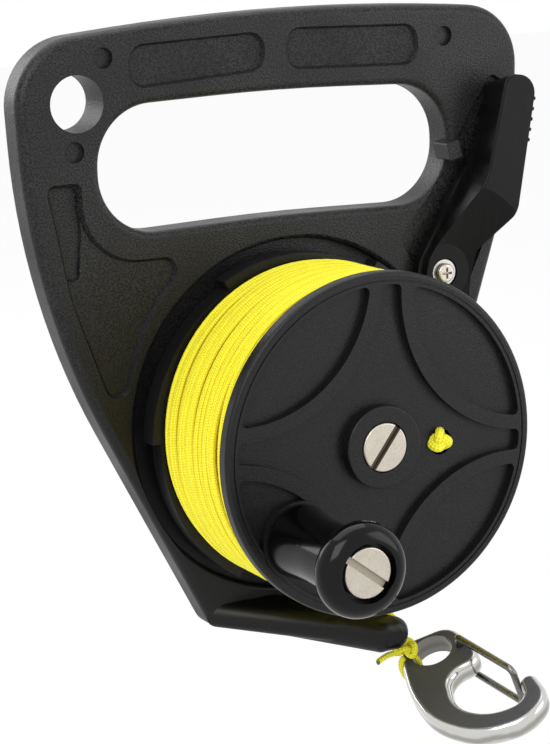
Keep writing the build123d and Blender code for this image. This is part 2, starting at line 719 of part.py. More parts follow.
# Wire bail: two legs beside the hook's body and a bar across its nose
leg_way = along_way * cos(radians(gate_lean)) + across_way * sin(radians(gate_lean))
gate_pivot = hook_eye + across_way * gate_pivot_across + along_way * gate_pivot_along
with BuildPart() as snap_gate:
    with BuildLine() as bail:
        FilletPolyline(
            gate_pivot + normal_way * gate_leg_inset,
            gate_pivot + normal_way * gate_half_width,
            gate_pivot + normal_way * gate_half_width + leg_way * gate_length,
            gate_pivot - normal_way * gate_half_width + leg_way * gate_length,
            gate_pivot - normal_way * gate_half_width,
            gate_pivot - normal_way * gate_leg_inset,
            radius=[gate_root_bend, gate_bend, gate_bend, gate_root_bend],
        )
    tube(bail, gate_wire_radius)
save(snap_gate, "snap_gate")

# Loop through the hook's eye, its knot, the run up to the drum and the cut tail
loop_centre = hook_eye - across_way * (eye_radius + eye_rim / 2)
knot_centre = loop_centre + normal_way * (loop_radius + knot_seat)
loop_start, loop_middle, loop_end = [
    loop_centre + normal_way * (loop_radius * cos(radians(turn))) + across_way * (loop_radius * sin(radians(turn)))
    for turn in (loop_open, 180, -loop_open)
]
with BuildPart() as line_loop:
    with BuildLine() as ring:
        ThreePointArc(loop_start, loop_middle, loop_end)
    tube(ring, line_radius)
save(line_loop, "line_loop")

with BuildPart() as line_knot:
    with Locations(knot_centre):
        Sphere(knot_radius)
save(line_knot, "line_knot")
print("knot centre", knot_centre, "loop centre", loop_centre, "along", along_way)

lead_radius = line_full_radius + line_radius + lead_gap
lead_turn = atan2(-line_entry_drop, guide_x) - acos(lead_radius / sqrt(line_entry_drop**2 + guide_x**2))
line_exit = place(guide_x, guide_height, -line_exit_drop)
exit_way = (knot_centre - line_exit).normalized()
with BuildPart() as line_run:
    with BuildLine() as lead:
        FilletPolyline(
            place(lead_radius * cos(lead_turn), guide_height, lead_radius * sin(lead_turn)),
            place(guide_x, guide_height, -line_entry_drop),
            line_exit,
            knot_centre - exit_way * (knot_radius + touch_gap),
            radius=[line_entry_bend, line_exit_bend],
        )
    tube(lead, line_radius)
save(line_run, "line_run")

tail_way = Vector(*tail_shares).normalized()
with BuildPart() as line_tail:
    with BuildLine() as cut_end:
        Line(knot_centre + tail_way * (knot_radius + touch_gap),
             knot_centre + tail_way * (knot_radius + touch_gap + tail_length))
    tube(cut_end, line_radius)
save(line_tail, "line_tail")
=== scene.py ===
import json
import math

import bmesh
import bpy
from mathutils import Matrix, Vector

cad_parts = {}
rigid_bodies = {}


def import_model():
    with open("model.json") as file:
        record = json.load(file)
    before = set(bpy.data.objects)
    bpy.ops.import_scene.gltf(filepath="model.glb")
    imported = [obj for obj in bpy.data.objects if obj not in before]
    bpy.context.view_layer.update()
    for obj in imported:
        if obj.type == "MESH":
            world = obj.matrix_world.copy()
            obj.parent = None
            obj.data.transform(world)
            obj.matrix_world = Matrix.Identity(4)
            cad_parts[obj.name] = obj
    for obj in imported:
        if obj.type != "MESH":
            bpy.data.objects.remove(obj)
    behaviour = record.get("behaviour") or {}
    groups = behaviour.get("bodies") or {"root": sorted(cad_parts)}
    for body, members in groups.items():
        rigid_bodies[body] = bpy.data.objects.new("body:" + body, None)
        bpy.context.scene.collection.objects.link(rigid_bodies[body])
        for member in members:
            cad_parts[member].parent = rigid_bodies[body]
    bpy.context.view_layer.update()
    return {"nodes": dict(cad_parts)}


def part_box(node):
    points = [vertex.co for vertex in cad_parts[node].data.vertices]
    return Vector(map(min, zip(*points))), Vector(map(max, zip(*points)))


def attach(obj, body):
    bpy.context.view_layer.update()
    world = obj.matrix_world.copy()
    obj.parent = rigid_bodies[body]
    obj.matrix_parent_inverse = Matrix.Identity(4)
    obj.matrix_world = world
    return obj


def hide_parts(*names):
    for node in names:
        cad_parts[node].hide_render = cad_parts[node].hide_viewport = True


# Dive reel. Metres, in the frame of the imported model: the lanyard hole at the origin, -Y to
# the user, +Z up. Values given with MM are the part's own millimetres.
for leftover in list(bpy.data.objects):
    bpy.data.objects.remove(leftover)
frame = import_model()
nodes = frame["nodes"]

MM = 0.001
SPOOL_X = 64.2
SPOOL_Z = -94.3
SMOOTH_BELOW = math.radians(30)


def place(x, height, z):
    """A point measured from the spool's axis, height in front of the frame's back."""
    return Vector((SPOOL_X + x, -height, SPOOL_Z + z)) * MM


def linear(hex_code):
    """A colour written as sRGB hex, as the shader's linear values."""
    shares = [int(hex_code[start : start + 2], 16) / 255 for start in (1, 3, 5)]
    return [s / 12.92 if s <= 0.04045 else ((s + 0.055) / 1.055) ** 2.4 for s in shares] + [1]


def add(tree, kind, inputs=(), **settings):
    """A node with its settings. An input takes a value or another node's socket.

    Inputs with numbers: Math and Vector Math take their values as 0, 1 and 2. Map Range takes
    the value as 0, its range as 1 and 2, and the range it becomes as 3 and 4. Mix takes the
    share as 0, and then two numbers as 2 and 3 or two colours as 6 and 7.
    """
    made = tree.nodes.new("ShaderNode" + kind)
    for name, value in settings.items():
        setattr(made, name, value)
    for socket, value in dict(inputs).items():
        if isinstance(value, bpy.types.NodeSocket):
            tree.links.new(value, made.inputs[socket])
        else:
            made.inputs[socket].default_value = value
    return made


def finish(name, **values):
    """A material with one Principled shader, whose even values are set on its own sockets."""
    material = bpy.data.materials.new(name)
    material.use_nodes = True
    tree = material.node_tree
    shader = tree.nodes["Principled BSDF"]
    for socket, value in values.items():
        shader.inputs[socket.replace("_", " ")].default_value = value
    return material, tree, shader


def smeared(name, width, detail, tones, spread, roughness, **values):
    """A finish whose tone and roughness change together, in smears width mm across.

    The roughness runs between its two values while the smear runs between those of spread.
    """
    material, tree, shader = finish(name, **values)
    spot = add(tree, "TexCoord").outputs["Object"]
    smear = add(tree, "TexNoise", {"Vector": spot, "Scale": 1 / (width * MM), "Detail": detail})
    tone = add(tree, "Mix", {0: smear.outputs[0], 6: linear(tones[0]), 7: linear(tones[1])},
               data_type="RGBA")
    tree.links.new(tone.outputs[2], shader.inputs["Base Color"])
    worn = add(tree, "MapRange", {0: smear.outputs[0], 1: spread[0], 2: spread[1],
                                  3: roughness[0], 4: roughness[1]})
    tree.links.new(worn.outputs[0], shader.inputs["Roughness"])
    return material


def dress(material, *names):
    """Gives a material to the solids of these names."""
    for name in names:
        for slot in nodes[name].material_slots:
            slot.material = material


# Moulded nylon of the frame: satin black with a spark-eroded grain, coarser on the floors of
# the two long pockets and of the tapered one, and fading towards the foot. The mould gave it a
# slow change of tone. Such a grain is about 0.1 mm wide, which would not show, so it is drawn
# at 0.5 mm.
GRAIN_ENDS = -105.0
GRAIN_FULL = -40.0
PILL_FLOOR = -10.7
TAPER_FLOOR = -9.5
FLOOR_MARGIN = 0.04
NYLON_GRAIN = 0.5
NYLON_CLOUD = 25
nylon, tree, shader = finish("moulded_nylon", IOR=1.46, Specular_IOR_Level=0.3)
spot = add(tree, "TexCoord").outputs["Object"]
axes = add(tree, "SeparateXYZ", {"Vector": spot})
depth = axes.outputs["Y"]
upper = add(tree, "MapRange", {0: axes.outputs["Z"], 1: GRAIN_ENDS * MM, 2: GRAIN_FULL * MM,
                               3: 0.15, 4: 1.0})
pill = add(tree, "Math", {0: depth, 1: PILL_FLOOR * MM, 2: FLOOR_MARGIN * MM},
           operation="COMPARE")
taper = add(tree, "Math", {0: depth, 1: TAPER_FLOOR * MM, 2: FLOOR_MARGIN * MM},
            operation="COMPARE")
grained = add(tree, "Math", {0: pill.outputs[0], 1: taper.outputs[0]}, operation="MAXIMUM")
fine = add(tree, "TexNoise", {"Vector": spot, "Scale": 1 / (NYLON_GRAIN * MM), "Detail": 2.0})
cloud = add(tree, "TexNoise", {"Vector": spot, "Scale": 1 / (NYLON_CLOUD * MM), "Detail": 2.0})
coarse = add(tree, "MapRange", {0: grained.outputs[0], 3: 0.4, 4: 0.9})
local = add(tree, "Math", {0: upper.outputs[0], 1: coarse.outputs[0]}, operation="MULTIPLY")
rise = add(tree, "Math", {0: fine.outputs[0], 1: local.outputs[0]}, operation="MULTIPLY")
bump = add(tree, "Bump", {"Height": rise.outputs[0], "Strength": 0.9, "Distance": 0.45 * MM})
tree.links.new(bump.outputs[0], shader.inputs["Normal"])
speck = add(tree, "MapRange", {0: fine.outputs[0], 1: 0.4, 2: 0.62})
grain = add(tree, "Math", {0: speck.outputs[0], 1: upper.outputs[0]}, operation="MULTIPLY")
tone = add(tree, "Mix", {0: grain.outputs[0], 6: linear("#050505"), 7: linear("#2c2c2d")},
           data_type="RGBA")
blend = add(tree, "MapRange", {0: cloud.outputs[0], 1: 0.4, 2: 0.7, 3: 0.0, 4: 0.4})
shade = add(tree, "Mix", {0: blend.outputs[0], 6: tone.outputs[2], 7: linear("#0e0e0f")},
            data_type="RGBA")
tree.links.new(shade.outputs[2], shader.inputs["Base Color"])
worn = add(tree, "MapRange", {0: cloud.outputs[0], 1: 0.35, 2: 0.65, 3: 0.34, 4: 0.46})
tree.links.new(worn.outputs[0], shader.inputs["Roughness"])
dress(nylon, "frame")

# Moulded plastic of the spool: the same black and satin, its grain a little finer than the
# frame's, drawn at 0.45 mm for the same reason
SPOOL_GRAIN = 0.45
SPOOL_CLOUD = 18
spool_black, tree, shader = finish("moulded_spool", IOR=1.46, Specular_IOR_Level=0.3)
spot = add(tree, "TexCoord").outputs["Object"]
fine = add(tree, "TexNoise", {"Vector": spot, "Scale": 1 / (SPOOL_GRAIN * MM), "Detail": 2.0})
cloud = add(tree, "TexNoise", {"Vector": spot, "Scale": 1 / (SPOOL_CLOUD * MM), "Detail": 2.0})
bump = add(tree, "Bump", {"Height": fine.outputs[0], "Strength": 0.6, "Distance": 0.12 * MM})
tree.links.new(bump.outputs[0], shader.inputs["Normal"])
speck = add(tree, "MapRange", {0: fine.outputs[0], 1: 0.36, 2: 0.64})
tone = add(tree, "Mix", {0: speck.outputs[0], 6: linear("#09090a"), 7: linear("#1e1e1f")},
           data_type="RGBA")
shade = add(tree, "Mix", {0: cloud.outputs[0], 6: tone.outputs[2], 7: linear("#111112")},
            data_type="RGBA")
tree.links.new(shade.outputs[2], shader.inputs["Base Color"])
worn = add(tree, "MapRange", {0: cloud.outputs[0], 1: 0.35, 2: 0.65, 3: 0.3, 4: 0.42})
tree.links.new(worn.outputs[0], shader.inputs["Roughness"])
dress(spool_black, "front_flange", "ratchet_disc", "drum")

# Lever: the same plastic from a smoother mould, darker to the eye, with faint draw marks along
# its side walls. The marks are some 0.3 mm apart and are drawn at 1.2 mm, so that they show.
DRAW_MARKS = (1.2, 30, 14)
lever_black, tree, shader = finish("draw_marked_lever", IOR=1.46, Specular_IOR_Level=0.15)
spot = add(tree, "TexCoord").outputs["Object"]
drawn = add(tree, "Mapping", {"Vector": spot, "Scale": [1 / (gap * MM) for gap in DRAW_MARKS]})
marks = add(tree, "TexNoise", {"Vector": drawn.outputs[0], "Scale": 1.0, "Detail": 3.0})
bump = add(tree, "Bump", {"Height": marks.outputs[0], "Strength": 0.2, "Distance": 0.1 * MM})
tree.links.new(bump.outputs[0], shader.inputs["Normal"])
tone = add(tree, "Mix", {0: marks.outputs[0], 6: linear("#060606"), 7: linear("#121212")},
           data_type="RGBA")
tree.links.new(tone.outputs[2], shader.inputs["Base Color"])
worn = add(tree, "MapRange", {0: marks.outputs[0], 1: 0.3, 2: 0.7, 3: 0.3, 4: 0.42})
tree.links.new(worn.outputs[0], shader.inputs["Roughness"])
dress(lever_black, "thumb_lever")

# Knob: polished black plastic, bright streaks of light on it and handling scuffs 5 mm wide
knob_black = smeared("polished_knob", width=5, detail=6.0, tones=("#050506", "#0a0a0b"),
                     spread=(0.4, 0.75), roughness=(0.1, 0.2), IOR=1.5,
                     Specular_IOR_Level=0.2)
dress(knob_black, "knob")

# Screw heads: nickel-plated brass, faced on a lathe, a warm grey gloss, with painted shade that
# darkens the slot of each. The tool left marks finer than 0.1 mm, drawn at 0.35 mm so that they
# show. The painted shade starts and is full at these depths under the head's face.
SCREW_SLOT_SHADE = {"axle_bolt": "#5a5047", "knob_screw": "#a69d8f", "lever_screw": "#3d362e"}
SLOT_SHADE_STARTS = 0.4
SLOT_SHADE_FULL = 1.3
TOOL_MARKS = 0.35
STAIN = 3
for screw, slot_shade_tone in SCREW_SLOT_SHADE.items():
    screw_nickel, tree, shader = finish("faced_nickel_" + screw, Metallic=1.0)
    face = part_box(screw)[0][1]
    spot = add(tree, "TexCoord").outputs["Object"]
    depth = add(tree, "SeparateXYZ", {"Vector": spot}).outputs["Y"]
    cut = add(tree, "TexNoise", {"Vector": spot, "Scale": 1 / (TOOL_MARKS * MM), "Detail": 3.0})
    stain = add(tree, "TexNoise", {"Vector": spot, "Scale": 1 / (STAIN * MM), "Detail": 3.0})
    bump = add(tree, "Bump", {"Height": cut.outputs[0], "Strength": 0.3, "Distance": 0.04 * MM})
    tree.links.new(bump.outputs[0], shader.inputs["Normal"])
    tone = add(tree, "Mix", {0: stain.outputs[0], 6: linear("#b6afa1"), 7: linear("#cfc9bd")},
               data_type="RGBA")
    speck = add(tree, "MapRange", {0: cut.outputs[0], 1: 0.55, 2: 0.7, 3: 0.0, 4: 0.5})
    pitted = add(tree, "Mix", {0: speck.outputs[0], 6: tone.outputs[2], 7: linear("#99917f")},
                 data_type="RGBA")
    # Painted shade: the slot darkens with depth under the head's face, to a tone given for each
    # screw.
    slot_shade = add(tree, "MapRange", {0: depth, 1: face + SLOT_SHADE_STARTS * MM,
                                  2: face + SLOT_SHADE_FULL * MM})
    slot_shaded = add(tree, "Mix", {0: slot_shade.outputs[0], 6: pitted.outputs[2], 7: linear(slot_shade_tone)},
                 data_type="RGBA")
    tree.links.new(slot_shaded.outputs[2], shader.inputs["Base Color"])
    worn = add(tree, "MapRange", {0: cut.outputs[0], 1: 0.3, 2: 0.7, 3: 0.34, 4: 0.5})
    tree.links.new(worn.outputs[0], shader.inputs["Roughness"])
    dress(screw_nickel, screw)

# Nut, sleeves, washers, spindle and spring: plain turned stainless steel, a soft grey shine
turned_steel = smeared("turned_steel", width=2, detail=4.0, tones=("#a9a8a5", "#c6c5c2"),
                       spread=(0.3, 0.7), roughness=(0.25, 0.4), Metallic=1.0)
dress(turned_steel, "axle_nut", "axle_sleeve", "head_washer", "lever_washer", "lever_sleeve",
      "lever_spring", "knob_spindle")

# Thrust washer: turned acetal, off-white and waxy
acetal = smeared("turned_acetal", width=3, detail=3.0, tones=("#dad8cf", "#e8e6de"),
                 spread=(0.3, 0.7), roughness=(0.4, 0.5), IOR=1.48)
dress(acetal, "thrust_washer")

# Snap hook: cast stainless steel, tumbled to a mirror on its rounded edges, where a darker band
# that wanders along them is a painted reflection. Its two flat faces are darker, and painted
# shade darkens the eye's bore. The pits of the casting are about 0.1 mm wide and are drawn at
# 0.5 mm, so that they show.
HOOK_EYE = place(28.8, 39.5, -72.2)
HOOK_ACROSS = Vector((0.855, -0.394, 0.346)).normalized()
HOOK_NORMAL = Vector((-0.431, -0.173, 0.884)).normalized()
HOOK_ALONG = HOOK_ACROSS.cross(HOOK_NORMAL)
HOOK_HALF_THICK = 3.2
FLAT_STARTS = HOOK_HALF_THICK - 0.25
FLAT_FULL = HOOK_HALF_THICK - 0.02
EYE_RADIUS = 6.2
BORE_SHADE_FULL = EYE_RADIUS + 0.2
BORE_SHADE_GONE = EYE_RADIUS + 1.2
CASTING_PITS = 0.5
CASTING_WAVES = 6
REFLECTION_BAND_WANDER = 1.6
REFLECTION_BAND_OFFSET = 0.4
REFLECTION_BAND_DARK = 0.5
REFLECTION_BAND_GONE = 1.5
cast_steel, tree, shader = finish("tumbled_cast_steel")
spot = add(tree, "TexCoord").outputs["Object"]
offset = add(tree, "VectorMath", {0: spot, 1: HOOK_EYE}, operation="SUBTRACT")
side = add(tree, "VectorMath", {0: offset.outputs[0], 1: HOOK_NORMAL}, operation="DOT_PRODUCT")
away = add(tree, "Math", {0: side.outputs["Value"]}, operation="ABSOLUTE")
flat = add(tree, "MapRange", {0: away.outputs[0], 1: FLAT_STARTS * MM, 2: FLAT_FULL * MM,
                              3: 0.0, 4: 1.0})
grit = add(tree, "TexNoise", {"Vector": spot, "Scale": 1 / (CASTING_PITS * MM), "Detail": 4.0})
wave = add(tree, "TexNoise", {"Vector": spot, "Scale": 1 / (CASTING_WAVES * MM), "Detail": 2.0})
height = add(tree, "Math", {0: grit.outputs[0], 1: 0.05, 2: wave.outputs[0]},
             operation="MULTIPLY_ADD")
bump = add(tree, "Bump", {"Height": height.outputs[0], "Strength": 0.4, "Distance": 0.5 * MM})
tree.links.new(bump.outputs[0], shader.inputs["Normal"])
# Painted reflection: a dark band that wanders with the casting's waves along the rounded edges.
wander = add(tree, "Math", {0: wave.outputs[0], 1: REFLECTION_BAND_WANDER * MM, 2: side.outputs["Value"]},
             operation="MULTIPLY_ADD")
aside = add(tree, "Math", {0: wander.outputs[0], 1: REFLECTION_BAND_OFFSET * MM}, operation="SUBTRACT")
across = add(tree, "Math", {0: aside.outputs[0]}, operation="ABSOLUTE")
painted_reflection_band = add(tree, "MapRange", {0: across.outputs[0], 1: REFLECTION_BAND_DARK * MM, 2: REFLECTION_BAND_GONE * MM})
rim = add(tree, "Mix", {0: painted_reflection_band.outputs[0], 6: linear("#a19f9a"), 7: linear("#d0cfcc")},
          data_type="RGBA")
outward = add(tree, "VectorMath", {0: HOOK_NORMAL, "Scale": side.outputs["Value"]},
              operation="SCALE")
in_plane = add(tree, "VectorMath", {0: offset.outputs[0], 1: outward.outputs[0]},
               operation="SUBTRACT")
radial = add(tree, "VectorMath", {0: in_plane.outputs[0]}, operation="LENGTH")
# Painted shade: the eye's bore and the first millimetre round it are darkened.
painted_bore_shade = add(tree, "MapRange", {0: radial.outputs["Value"], 1: BORE_SHADE_FULL * MM,
                              2: BORE_SHADE_GONE * MM, 3: 0.85, 4: 0.0})
bore_shaded = add(tree, "Mix", {0: painted_bore_shade.outputs[0], 6: rim.outputs[2], 7: linear("#55534c")},
             data_type="RGBA")
tone = add(tree, "Mix", {0: flat.outputs[0], 6: bore_shaded.outputs[2], 7: linear("#484950")},
           data_type="RGBA")
tree.links.new(tone.outputs[2], shader.inputs["Base Color"])
metal = add(tree, "MapRange", {0: flat.outputs[0], 3: 1.0, 4: 0.15})
tree.links.new(metal.outputs[0], shader.inputs["Metallic"])
dull = add(tree, "MapRange", {0: grit.outputs[0], 1: 0.3, 2: 0.7, 3: 0.42, 4: 0.5})
shine = add(tree, "MapRange", {0: grit.outputs[0], 1: 0.3, 2: 0.7, 3: 0.08, 4: 0.16})
rough = add(tree, "Mix", {0: flat.outputs[0], 2: shine.outputs[0], 3: dull.outputs[0]})
tree.links.new(rough.outputs[0], shader.inputs["Roughness"])
dress(cast_steel, "snap_hook")

# Gate: drawn stainless wire, a darker shine than the hook's, with faint smears
drawn_wire = smeared("drawn_wire", width=1.5, detail=4.0, tones=("#4f4e4c", "#8f8e8b"),
                     spread=(0.3, 0.7), roughness=(0.26, 0.36), Metallic=1.0)
dress(drawn_wire, "snap_gate")

# Line: braided polypropylene, bright yellow with a soft sheen, 1.7 mm thick. On a wound or tied
# piece UV x is the length along it in millimetres, and UV y goes once round it. Strands of such
# a line cross every millimetre or less, and they are drawn to cross every STRAND millimetres,
# so that they show. On the drum painted shade darkens the creases between the loops, and the
# loops that sank between others, to a deeper yellow, by their distance from the spool's axis.
LINE_RADIUS = 0.85
STRAND = 1.5
STRANDS_ROUND = 4
STRAND_FUZZ = 0.5
LINE_CLOUD = 7
CREASE_SHADE_LOW = 45.8
CREASE_SHADE_TOP = 46.5
SHEEN_TONE = "#fff68a"


def line_finish(name, groove_tone, strand_tone, even_tone, crease_shade_tone=None):
    """The braid's finish, with the tones of its grooves, its strands and its even patches."""
    braid, tree, shader = finish(name, Roughness=0.62, IOR=1.49, Specular_IOR_Level=0.3,
                                 Sheen_Weight=0.25, Sheen_Tint=linear(SHEEN_TONE))
    around = add(tree, "SeparateXYZ", {"Vector": add(tree, "TexCoord").outputs["UV"]})
    run = add(tree, "Math", {0: around.outputs["X"], 1: 2 * math.pi / STRAND},
              operation="MULTIPLY")
    turn = add(tree, "Math", {0: around.outputs["Y"], 1: 2 * math.pi * STRANDS_ROUND},
               operation="MULTIPLY")
    left = add(tree, "Math", {0: run.outputs[0], 1: turn.outputs[0]}, operation="ADD")
    right = add(tree, "Math", {0: run.outputs[0], 1: turn.outputs[0]}, operation="SUBTRACT")
    left_wave = add(tree, "Math", {0: left.outputs[0]}, operation="SINE")
    right_wave = add(tree, "Math", {0: right.outputs[0]}, operation="SINE")
    weave = add(tree, "Math", {0: left_wave.outputs[0], 1: right_wave.outputs[0]},
                operation="MULTIPLY")
    spot = add(tree, "TexCoord").outputs["Object"]
    fuzz = add(tree, "TexNoise", {"Vector": spot, "Scale": 1 / (STRAND_FUZZ * MM),
                                  "Detail": 3.0})
    uneven = add(tree, "TexNoise", {"Vector": spot, "Scale": 1 / (LINE_CLOUD * MM),
                                    "Detail": 2.0})
    height = add(tree, "Math", {0: fuzz.outputs[0], 1: 0.6, 2: weave.outputs[0]},
                 operation="MULTIPLY_ADD")
    bump = add(tree, "Bump", {"Height": height.outputs[0], "Strength": 0.5,
                              "Distance": 0.2 * MM})
    tree.links.new(bump.outputs[0], shader.inputs["Normal"])
    lay = add(tree, "MapRange", {0: weave.outputs[0], 1: -0.8, 2: 0.3})
    strand = add(tree, "Mix", {0: lay.outputs[0], 6: linear(groove_tone),
                               7: linear(strand_tone)}, data_type="RGBA")
    part = add(tree, "MapRange", {0: uneven.outputs[0], 1: 0.35, 2: 0.75, 3: 0.0, 4: 0.6})
    tone = add(tree, "Mix", {0: part.outputs[0], 6: strand.outputs[2], 7: linear(even_tone)},
               data_type="RGBA")
    # Painted shade: the coil's creases and its sunk loops darken by their nearness to the
    # spool's axis.
    if crease_shade_tone:
        from_axis = add(tree, "VectorMath", {0: spot, 1: place(0, 0, 0)}, operation="SUBTRACT")
        level = add(tree, "VectorMath", {0: from_axis.outputs[0], 1: (1, 0, 1)},
                    operation="MULTIPLY")
        radial = add(tree, "VectorMath", {0: level.outputs[0]}, operation="LENGTH")
        painted_crease_shade = add(tree, "MapRange", {0: radial.outputs["Value"], 1: CREASE_SHADE_LOW * MM,
                                        2: CREASE_SHADE_TOP * MM, 3: 0.8, 4: 0.0})
        tone = add(tree, "Mix", {0: painted_crease_shade.outputs[0], 6: tone.outputs[2],
                                 7: linear(crease_shade_tone)}, data_type="RGBA")
    tree.links.new(tone.outputs[2], shader.inputs["Base Color"])
    return braid


line_yellow = line_finish("braided_yellow_line", "#e0c80e", "#fffb3a", "#fdf428", "#dcbf00")
knot_yellow = line_finish("tightened_yellow_line", "#d3c71a", "#fdfa40", "#f2ea2e")
# Painted shade: a darker, orange copy of the line's finish for the layer under the coil.
shaded_under_yellow = line_finish("under_layer_line_painted_shade", "#9c7400", "#c89a00", "#b08600")


def braided(name, points, closed=False, radius=LINE_RADIUS, sides=3, material=line_yellow):
    """A tube of line along the points, as a mesh whose UV map is in millimetres along it."""
    curve = bpy.data.curves.new(name, "CURVE")
    curve.dimensions = "3D"
    curve.bevel_depth = radius * MM
    curve.bevel_resolution = sides
    curve.use_fill_caps = not closed
    spline = curve.splines.new("POLY")
    spline.points.add(len(points) - 1)
    for spline_point, point in zip(spline.points, points):
        spline_point.co = (*point, 1)
    spline.use_cyclic_u = closed
    tube = bpy.data.objects.new(name, curve)
    bpy.context.scene.collection.objects.link(tube)
    bpy.ops.object.select_all(action="DESELECT")
    tube.select_set(True)
    bpy.context.view_layer.objects.active = tube
    bpy.ops.object.convert(target="MESH")
    tube = bpy.context.view_layer.objects.active
    length = sum((b - a).length for a, b in zip(points, points[1:])) / MM
    for corner in tube.data.uv_layers[0].data:
        corner.uv.x *= length
    bpy.ops.object.shade_smooth()
    tube.data.materials.clear()
    tube.data.materials.append(material)
    return tube


# Outer layer on the drum: one coil whose loops lie side by side, wound by hand. At each parting
# the loops on its two sides are pushed apart: loop, degrees round, half length, width in mm.
# The push fades over SPREAD loops. Each loop also sways along the drum, by so many millimetres
# once and twice round, and sinks by up to SINK. The next loop does so some radians further on.
# The coil's two ends settle to straight over an eighth of it.
COIL_RADIUS = 46.0
DRUM_LOW = 19.7
DRUM_HIGH = 57.2
END_ROOM = 0.95
COIL_LOW = DRUM_LOW + END_ROOM
COIL_HIGH = DRUM_HIGH - END_ROOM
LOOPS = 21
STEPS = 90
PARTINGS = [
    (3.5, 205, 62, 1.15), (7.5, 150, 40, 1.0), (17.5, 184, 24, 2.8), (14.5, 226, 30, 1.5),
    (18.5, 250, 34, 1.3), (5.5, 110, 46, 1.0), (12.5, 128, 42, 1.3), (9.5, 222, 44, 1.15),
    (11.5, 182, 30, 0.9), (14.5, 165, 26, 1.2), (6.5, 250, 36, 0.9),
    (2.5, 300, 36, 0.9), (8.5, 290, 34, 0.9), (13.5, 66, 34, 1.1), (5.5, 48, 30, 1.0),
    (17.5, 106, 36, 1.3), (10.5, 40, 26, 0.9), (15.5, 312, 30, 1.0),
]
SPREAD = 2.6
SWAY_ONCE = 0.2
ONCE_ON = 0.9
SWAY_TWICE = 0.12
TWICE_ON = -1.7
SINK = 0.45
SINK_ON = 2.1
END_RATE = 8
outer = []
for step in range(LOOPS * STEPS + 1):
    share = step / (LOOPS * STEPS)
    degrees = 360 * (step % STEPS) / STEPS
    angle = math.radians(-degrees)
    loop = step // STEPS
    sway = (math.sin(angle + ONCE_ON * loop) * SWAY_ONCE
            + math.sin(2 * angle + TWICE_ON * loop) * SWAY_TWICE)
    for beside, middle, reach, width in PARTINGS:
        away = loop - beside
        push = math.exp(-abs(away) / SPREAD) * math.exp(-(((degrees - middle) / reach) ** 2))
        sway += math.copysign(width / 2, away) * push
    sway *= min(1, END_RATE * share, END_RATE * (1 - share))
    radius = COIL_RADIUS - SINK * (1 + math.sin(2 * angle + SINK_ON * loop)) / 2
    height = COIL_LOW + (COIL_HIGH - COIL_LOW) * share + sway
    outer.append(place(radius * math.cos(angle), height, radius * math.sin(angle)))
wound = braided("wound_line_outer", outer)
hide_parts("wound_line")
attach(wound, "spool")

# Inner layers: a sleeve of line under it that closes the gaps between the loops, darkened by
# painted shade. Its pattern runs INNER_WEAVE millimetres along it and round it.
INNER_TOP = 45.1
INNER_THICK = 15.9
INNER_LOW = 19.9
INNER_HIGH = 57.0
INNER_WEAVE = (40, 60)
bpy.ops.mesh.primitive_cylinder_add(
    vertices=96, radius=INNER_TOP * MM, depth=(INNER_HIGH - INNER_LOW) * MM,
    end_fill_type="NOTHING", location=place(0, (INNER_HIGH + INNER_LOW) / 2, 0),
    rotation=(math.pi / 2, 0, 0),
)
inner = bpy.context.object
inner.name = "wound_line_inner"
bpy.ops.object.transform_apply(location=True, rotation=True, scale=True)
shell = inner.modifiers.new("thickness", "SOLIDIFY")
shell.thickness = INNER_THICK * MM
shell.offset = -1
bpy.ops.object.modifier_apply(modifier="thickness")
bpy.ops.object.shade_smooth_by_angle(angle=SMOOTH_BELOW)
for corner in inner.data.uv_layers[0].data:
    corner.uv = (corner.uv.y * INNER_WEAVE[0], corner.uv.x * INNER_WEAVE[1])
inner.data.materials.append(shaded_under_yellow)
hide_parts("wound_line_core")
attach(inner, "spool")

KNOT_STEPS = 60
KNOT_DEPTH = 1.5


def overhand(name, centre, across, up, size, radius):
    """A tightened overhand knot: a closed loop of line, its three lobes size mm from centre."""
    out = across.cross(up)
    points = []
    for step in range(KNOT_STEPS):
        angle = 2 * math.pi * step / KNOT_STEPS
        x = math.sin(angle) + 2 * math.sin(2 * angle)
        y = math.cos(angle) - 2 * math.cos(2 * angle)
        z = -KNOT_DEPTH * math.sin(3 * angle)
        points.append(centre + (across * x + up * y + out * z) * size / 3 * MM)
    return braided(name, points, closed=True, radius=radius, sides=4, material=knot_yellow)


# Stopper knot of the line's inner end, in the crank flange's hole
ANCHOR_REACH = 19.8
ANCHOR_TURN = math.radians(-5.3)
ANCHOR_HEIGHT = 59.3
ANCHOR = place(ANCHOR_REACH * math.cos(ANCHOR_TURN), ANCHOR_HEIGHT,
               ANCHOR_REACH * math.sin(ANCHOR_TURN))
STOPPER_SHIFT = Vector((-0.5, 0, 0.5))
stopper = overhand("stopper_knot", ANCHOR + STOPPER_SHIFT * MM, Vector((-1, 0, 0.05)),
                   Vector((-0.05, 0, -1)), size=2.5, radius=1.3)
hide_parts("anchor_knot")
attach(stopper, "spool")

